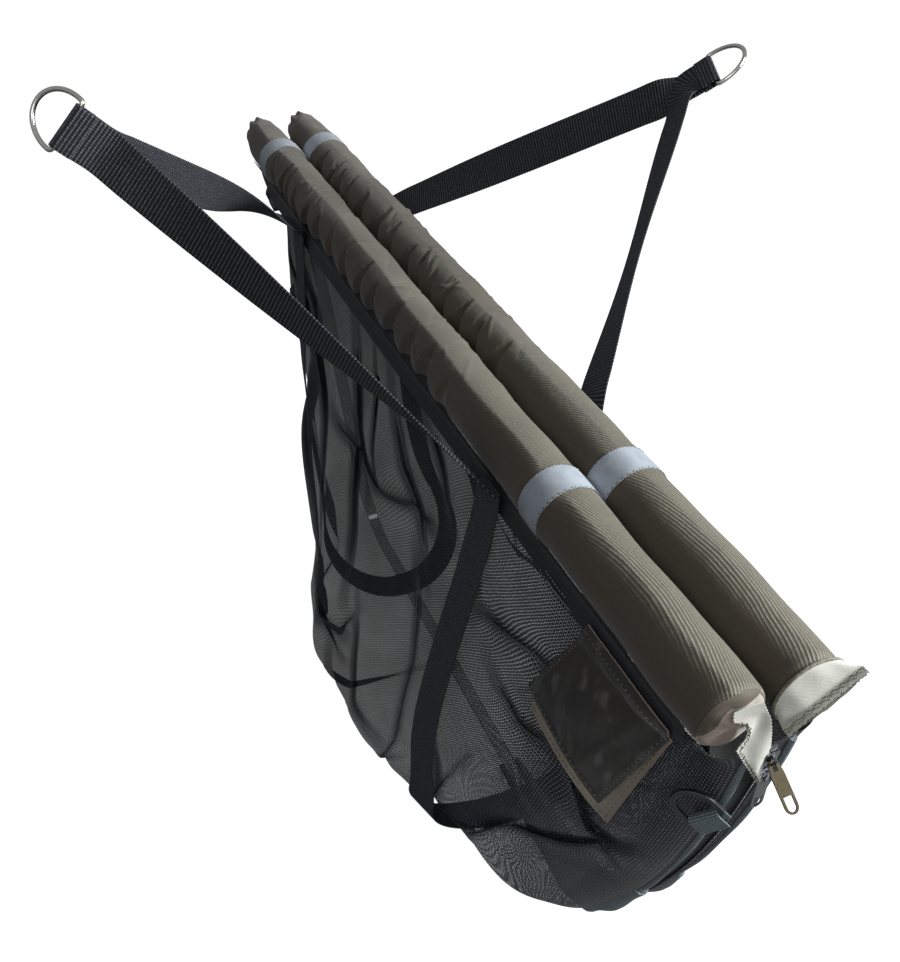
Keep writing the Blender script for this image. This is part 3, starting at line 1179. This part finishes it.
# Zip
# A black nylon coil zip with two sliders closes the near end. Its coil is wound
# from one filament and sewn to the tapes' edges, and a clamp stops each end.
TAPE_EDGE = 0.00055
COIL_RADIUS = 0.0013
COIL_Y = TAPE_EDGE + COIL_RADIUS
COIL_LIFT = 0.0004 + 0.0003 + COIL_RADIUS
TOOTH_PITCH = 0.0017
zip_cloth = webbing_stuff("zip_tape_cloth", (0.0075, 0.0078, 0.010), (0.026, 0.028, 0.034), 0.016, 0.0014)
coil_nylon = Stuff("nylon_coil", (0.010, 0.010, 0.013), 0.28)
coil_nylon.feed({"Roughness": coil_nylon.noise(400).ramp(0.3, 0.7, 0.2, 0.4),
                 "Base Color": coil_nylon.noise(90).mix((0.008, 0.008, 0.011), (0.018, 0.018, 0.024))})
for side_name, side in SIDES:
    line = np.array([zip_place(run)[0] for run in np.linspace(0, ZIP_LENGTH, 40)])
    tape, length = web_strip(side_name + "_zip_cloth", line + SIDEWAYS * side * TAPE_EDGE,
                             line + SIDEWAYS * side * BIND_HALF, 0.0008, 0.0155, 8)
    dress(tape, zip_cloth, "zip_tape", "seam", side_name + "_zip_tape", crease=50)
    choose()
    bpy.ops.mesh.primitive_torus_add(major_segments=10, minor_segments=5, major_radius=0.00086,
                                     minor_radius=0.00040)
    turns = []
    for i in range(int((ZIP_LENGTH - 0.010) / TOOTH_PITCH)):
        place, out, down = zip_place(0.005 + (i + (0.25 if side < 0 else 0.75)) * TOOTH_PITCH, COIL_LIFT)
        lean = unit(down + 0.22 * side * SIDEWAYS)
        wide = unit(np.cross(out, lean))
        turns.append(axes_at(place + SIDEWAYS * side * COIL_Y, wide, np.cross(lean, wide), lean))
    coil = join_copies(side_name + "_coil_turns", bpy.context.object, turns, [coil_nylon.material])
    dress(coil, None, "zip_coil", "seam", side_name + "_zip_coil")


def cast_metal(name, dark, light, roughness):
    """Plated zinc with small marks."""
    metal = Stuff(name, dark, roughness, 1.0)
    marks = metal.noise(500, 4, 0.65)
    metal.feed({"Roughness": marks.ramp(0.3, 0.75, roughness * 0.7, roughness * 1.4),
                "Base Color": metal.noise(45).mix(dark, light)})
    metal.relief(marks, 0.0001, 0.3)
    return metal.material


gunmetal = cast_metal("gunmetal", (0.15, 0.155, 0.165), (0.28, 0.29, 0.31), 0.26)
bright_gunmetal = cast_metal("bright_gunmetal", (0.34, 0.38, 0.46), (0.60, 0.64, 0.72), 0.16)
bronzed = cast_metal("bronzed_gunmetal", (0.026, 0.023, 0.014), (0.048, 0.043, 0.028), 0.42)
for name, metal in (("upper_slider", gunmetal), ("lower_slider", bright_gunmetal), ("upper_pull", bronzed),
                    ("lower_pull", gunmetal), ("zip_top_stop", gunmetal), ("zip_bottom_stop", gunmetal)):
    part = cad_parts[name]
    part.data.materials.clear()
    part.data.materials.append(metal)

# The left float's near end
# The sleeve is cut long, folded in over the foam like a parcel and tacked down.
# The cloth's pale inner face shows on the fold and on the tail that hangs from it.
PARCEL_REACH = 0.0258
TAIL_X, TAIL_TOP, TAIL_TIP = 0.5580, -0.1885, -0.2700
TAIL_CUT = (0.0300, 0.0835)
TAIL_LEFT = ((0, 0.10, 0.17, 0.27, 0.36, 0.42, 0.47, 0.75, 1),
             (-0.0395, -0.0385, -0.0300, -0.0262, -0.0268, -0.0300, -0.0312, -0.0190, -0.0085))
TAIL_RIGHT = ((0, 0.22, 0.65, 1), (-0.0180, -0.0098, -0.0022, -0.0062))
pale = olive_cloth("pale_cloth_back", (0.56, 0.57, 0.52), (0.42, 0.42, 0.375), 0.0003, 0.07).material
parcel = olive_cloth("parcel_cloth", (0.47, 0.43, 0.37), (0.31, 0.28, 0.235), 0.0003, 0.07)
_, parcel_y, parcel_z = parcel.split(parcel.place)
above = (parcel_y * -1 - 0.036).math("MAXIMUM", 0.0) * 1.19 + (parcel_z + 0.1925)
plain = parcel.shader["Base Color"].links[0].from_socket
parcel.feed({"Base Color": above.ramp(-0.0006, 0.0004).mix(plain, (0.085, 0.073, 0.052))})
cover, around, along = cloth_grid("left_end_parcel", 96, 26, 0.170, 0.030)
angle = 2 * math.pi * (around - 0.5)
share = 1 - along
bulge = 0.0058 * (1 - share ** 2.2)
tuck = 0.0011 * np.cos(4 * angle + 0.6) * np.sin(math.pi * share)
cover_y, cover_z = on_float(-1, PARCEL_REACH * share, angle)
overlap = 0.0010 * ease(-0.0012, 0.0006, cover_z + 0.1925 + 1.19 * np.maximum(-0.036 - cover_y, 0))
pressed = 0.0016 * np.clip(8 - 8 * share, 0, 1)
lay(cover, 0.5476 + pressed + bulge + tuck + overlap * np.minimum(share * 8, 1), cover_y, cover_z)
mend(cover, 0.0001)
dress(cover, parcel.material, "olive_fabric", "left_side", "left_end_cover")

tail, across, along = cloth_grid("left_end_tail", 40, 90, *TAIL_CUT)
tail_left = np.interp(along, *TAIL_LEFT)
tail_right = np.interp(along, *TAIL_RIGHT)
frays = 0.0006 * np.sin(along * 410) * np.where(across < 0.5, -1, 1) * (2 * np.abs(across - 0.5)) ** 6
lift = TAIL_X + 0.0072 * along + 0.0011 * np.sin(5.5 * across + 7 * along) * ease(0.05, 0.3, along)
lift = lift + 0.0026 * (across - 0.35) ** 2 * (1 - along)
tail_y = tail_left + (tail_right - tail_left) * across + frays
lay(tail, lift, tail_y, TAIL_TOP + (TAIL_TIP - TAIL_TOP) * along)
give_wall(tail, 0.0005, 1)
dress(tail, pale, "pale_fabric", "left_side", "left_end_fold", crease=50)
green = Stuff("green_thread", (0.085, 0.12, 0.055), 0.75)
green.feed({"Base Color": green.noise(500).mix((0.03, 0.045, 0.02), (0.14, 0.18, 0.10))})
green_thread = green.material
stitches = []
for share in [*np.linspace(0.13, 0.47, 22), *np.linspace(0.50, 0.97, 26)]:
    edge = float(np.interp(share, *TAIL_LEFT)) + 0.0016 + 0.0006 * math.sin(share * 160)
    place = (TAIL_X + 0.0006 + 0.0072 * share + 0.0007, edge, TAIL_TOP + (TAIL_TIP - TAIL_TOP) * share)
    stitches.append((place, (0.0, math.sin(share * 97) * 0.9, -1.0), (1, 0, 0)))
stitch_row("left_end_tail_stitches", stitches, (green_thread, dark_thread, green_thread), "pale_fabric",
           "left_side", 0.0030)

# The right float's near end
# Here the sleeve runs on past its foam, inside out, and is pressed flat and sewn
# across. The seam's corner curls down, its edge frays and the thread is green.
FLAP_MOUTH = 0.5503
FLAP_START = 0.02698
FLAP_REACH = 0.008
FLAP_MARGIN = 0.006
FLAP_HALF = 0.030
FLAP_TILT = math.radians(35)
FLAP_SHIFT = 0.006
FLAP_THIN = 0.0011
CURL_CUT = (0.040, 0.011)


def flap_droop(across):
    """How far the flap's outer corner curls down."""
    return ease(-0.012, -0.031, across) * 0.0085


def on_flap(out, across, thick, droop, grown=1):
    """Places on the tilted flap: out from the sleeve's mouth, across it and above its middle."""
    return (FLAP_MOUTH + out - droop * 0.3,
            FLOAT_AXIS_Y + FLAP_SHIFT * grown + across * math.cos(FLAP_TILT) - thick * math.sin(FLAP_TILT),
            FLOAT_AXIS_Z + across * math.sin(FLAP_TILT) + thick * math.cos(FLAP_TILT) - droop)


flap, around, along = cloth_grid("right_end_closure", 160, 60, 0.170, 0.030)
turn = 2 * math.pi * around
grown = np.clip(along / 0.72, 0, 1)
beyond = np.clip((along - 0.72) / 0.28, 0, 1)
half_wide = FLAP_START + (FLAP_HALF - FLAP_START) * grown + 0.0002 * beyond * np.sin(turn * 40)
half_wall = FLAP_THIN + (FLAP_START - FLAP_THIN) * (1 - grown ** 1.35)
pucker = 0.0009 * np.cos(turn * 9 + 1) * np.sin(math.pi * grown) * np.abs(np.sin(turn))
across = half_wide * np.cos(turn)
frays = 0.0006 * beyond * np.sin(across * 1700) * np.sin(across * 460 + 1)
out = FLAP_REACH * grown + FLAP_MARGIN * beyond + frays
thick = (half_wall + pucker) * np.sin(turn)
lay(flap, *on_flap(out, across, thick, flap_droop(across) * grown, grown))
mend(flap, WELD)
dress(flap, pale, "pale_fabric", "right_side", "right_end_flap", crease=60)
stitches = []
for i, across in enumerate(np.linspace(-0.029, 0.029, 40)):
    for row, reach in enumerate((0.0098, 0.0116)):
        reach = reach + 0.0007 * math.sin(across * 900 + row)
        place = on_flap(reach, across, 0.0014, float(flap_droop(across)))
        run = (0.5 * math.sin(i * 2.1 + row), math.cos(FLAP_TILT), math.sin(FLAP_TILT))
        stitches.append((place, run, (0, -math.sin(FLAP_TILT), math.cos(FLAP_TILT))))
stitch_row("right_end_stitches", stitches, (green_thread, light_thread), "pale_fabric", "right_side",
           *FINE_STITCH)
curl, across, down = cloth_grid("right_end_curl", 60, 14, *CURL_CUT)
edge = -0.018 + 0.038 * across
fall = 0.0090 * down * np.sin(math.pi * np.clip(across, 0.02, 0.98)) ** 0.6 * (1 + 0.18 * np.sin(across * 17))
out = FLAP_REACH + FLAP_MARGIN - 0.0006 + 0.0016 * np.sin(math.pi * down) - 0.0020 * down
curl_x, curl_y, curl_z = on_flap(out, edge, 0.0, flap_droop(edge))
lay(curl, curl_x, curl_y + 0.0006 * np.sin(across * 23) * down, curl_z - fall)
give_wall(curl, 0.0006)
dress(curl, olive.material, "olive_fabric", "right_side", crease=50)
choose()
bpy.ops.mesh.primitive_torus_add(major_segments=120, minor_segments=12, major_radius=0.0272,
                                 minor_radius=0.0013, location=(0.5508, FLOAT_AXIS_Y, FLOAT_AXIS_Z),
                                 rotation=(0, math.pi / 2, 0))
rim = bpy.context.object
rim.name = "right_end_rim"
bpy.ops.object.transform_apply(location=True, rotation=True, scale=True)
dress(rim, olive.material, "olive_fabric", "right_side")

# Pocket
# Two layers of the olive cloth's satin side are hemmed and sewn on the left wall
# by the zip. The front one bags a little, and the back one shows below it.
POCKET_FAR, POCKET_NEAR = (0.424, 0.389), (0.524, 0.486)
POCKET_TOP, POCKET_LOW = 0.034, (0.124, 0.157)
SEAM_SHARE = 0.035
SEAM_COUNT = 40
satin = olive_cloth("pocket_satin", (0.0225, 0.0180, 0.0145), (0.0125, 0.0098, 0.0085), 0.0004, 0.0)
satin_place = node(satin.tree, "ShaderNodeMapping", {"Vector": satin.place, "Scale": (1.0, 1.0, 0.35)})
satin_sheen = satin.noise(58, 2, place=satin_place.outputs["Vector"]).ramp(0.54, 0.68)
satin_tint = satin_sheen.mix(satin.shader["Base Color"].links[0].from_socket, (0.085, 0.078, 0.074))
satin.feed({"Base Color": satin_tint, "Roughness": 0.36, "Specular IOR Level": 0.6})
back_cloth = olive_cloth("pocket_back_cloth", (0.37, 0.325, 0.270), (0.215, 0.185, 0.148), 0.0004, 0.0)


def pocket_spot(across, down, shift_x, shift_drop, lift):
    """Places on a pocket layer by its shares across and down, that far outside the left wall."""
    far = POCKET_FAR[0] + (POCKET_FAR[1] - POCKET_FAR[0]) * down
    near = POCKET_NEAR[0] + (POCKET_NEAR[1] - POCKET_NEAR[0]) * down
    low = POCKET_LOW[0] + (POCKET_LOW[1] - POCKET_LOW[0]) * across
    x = far + (near - far) * across + shift_x * down
    drop = POCKET_TOP + (low - POCKET_TOP) * down + shift_drop * down
    along = (x - far_end(drop)) / (near_end(drop) - far_end(drop))
    down = FLANK_SHARE * (drop - HEM_DROP) / (BELLY_DROP - HEM_DROP)
    return net_surface(-1, np.clip(along, 0, 0.996), down, lift)


for name, shift_x, shift_drop, base, bulge, stuff in (("pocket_back", 0.009, 0.016, 0.0030, 0.0, back_cloth),
                                                      ("pocket_front", 0.0, 0.0, 0.0048, 0.0050, satin)):
    layer, across, down = cloth_grid(name + "_layer", 80, 96, 0.102, 0.112)
    dome = 16 * across * (1 - across) * down * (1 - down)
    folds = 0.0013 * np.sin(9 * across + 6 * down + 1) + 0.0009 * np.sin(21 * across - 9 * down)
    folds = folds + 0.0012 * np.exp(-((across - 0.80 + 0.1 * down) / 0.05) ** 2)
    sides = ease(0.09, 0.06, across) + ease(0.92, 0.95, across)
    hem = 0.0006 * np.minimum(sides + ease(0.93, 0.96, down) + ease(0.06, 0.03, down), 1)
    edge = 0.0007 * (np.sin(down * 60) * (across > 0.98) + np.sin(down * 47 + 1) * (across < 0.02))
    lift = base + bulge * dome + folds * np.minimum(dome * 1.4, 1) + hem
    lay(layer, pocket_spot(np.clip(across + edge * 3, 0, 1), down, shift_x, shift_drop, lift))
    give_wall(layer, 0.0006)
    dress(layer, stuff.material, "olive_fabric", "left_side", name, crease=50)
    line = np.linspace(SEAM_SHARE, 1 - SEAM_SHARE, SEAM_COUNT)
    steady = np.full(SEAM_COUNT, SEAM_SHARE)
    across = np.concatenate([steady, line, 1 - steady, line[::-1]])
    down = np.concatenate([line, 1 - steady, line[::-1], steady])
    lift = base + bulge * 16 * across * (1 - across) * down * (1 - down) + 0.0011
    rows = pocket_spot(across, down, shift_x, shift_drop, lift)
    outer = pocket_spot(across, down, shift_x, shift_drop, lift + 0.01)
    stitches = list(zip(rows, np.gradient(rows, axis=0), outer - rows))
    stitch_row(name + "_layer_stitches", stitches, (light_thread, dark_thread), "olive_fabric", "left_side",
               *FINE_STITCH)

# Plastic ring and its tab
# A black moulded D with rounded edges hangs by its straight bar in a fold of
# narrow webbing, which is sewn to the netting beside the zip.
LOOP_PLACE = np.array([0.55268, -0.03031, -0.314])
LOOP_FACING = math.radians(43)
LOOP_CLIMB = math.radians(42)
LOOP_HALF = 0.017
LOOP_RIM = 0.0042
LOOP_SHOULDER = 0.010
LOOP_RISE = 0.032 - LOOP_SHOULDER - LOOP_RIM
LOOP_WIRE = 0.0021
LOOP_WALL = 0.0017
LOOP_TAPE = 0.025
loop_face = np.array([math.cos(LOOP_FACING), -math.sin(LOOP_FACING), 0])
loop_level = np.array([-math.sin(LOOP_FACING), -math.cos(LOOP_FACING), 0])
loop_reach = loop_level * math.cos(LOOP_CLIMB) + np.array([0, 0, 1]) * math.sin(LOOP_CLIMB)
loop_bar = np.cross(loop_reach, loop_face)
moulded = Stuff("moulded_plastic", (0.012, 0.013, 0.017), 0.33)
moulded_grain = moulded.noise(900, 3)
moulded_tint = moulded_grain.mix((0.010, 0.011, 0.015), (0.018, 0.020, 0.026))
moulded.feed({"Roughness": moulded.noise(200).ramp(0.3, 0.7, 0.26, 0.42),
              "Base Color": moulded.attribute("rim").mix(moulded_tint, (0.17, 0.185, 0.22))})
moulded.relief(moulded_grain, 0.00008, 0.5)
loop_half = LOOP_HALF - LOOP_RIM / 2
bend = d_path(LOOP_PLACE, loop_bar, loop_reach, loop_half, 0.002, LOOP_SHOULDER, LOOP_RISE,
              np.linspace(-0.93, 0.93, 14) * loop_half, 0.3, 4, np.linspace(0.0, math.pi, 40))
loop = wire_loop("moulded_ring", bend, LOOP_WIRE, 32, LOOP_WALL)
dress(loop, moulded.material, "black_plastic", "plastic_ring", "plastic_ring")
skin = math.hypot(LOOP_WIRE, LOOP_WALL) + 0.0004 + 0.0006
line = fold_line(LOOP_PLACE, loop_face, loop_reach, skin, 0.011, 0.005)
loop_web, length = web_strip("moulded_ring_fold", line - loop_bar * LOOP_TAPE / 2,
                             line + loop_bar * LOOP_TAPE / 2, 0.0012, LOOP_TAPE, 12, 0.0008)
dress(loop_web, bind_cloth, "webbing", "left_side", "plastic_ring_tab", crease=50)
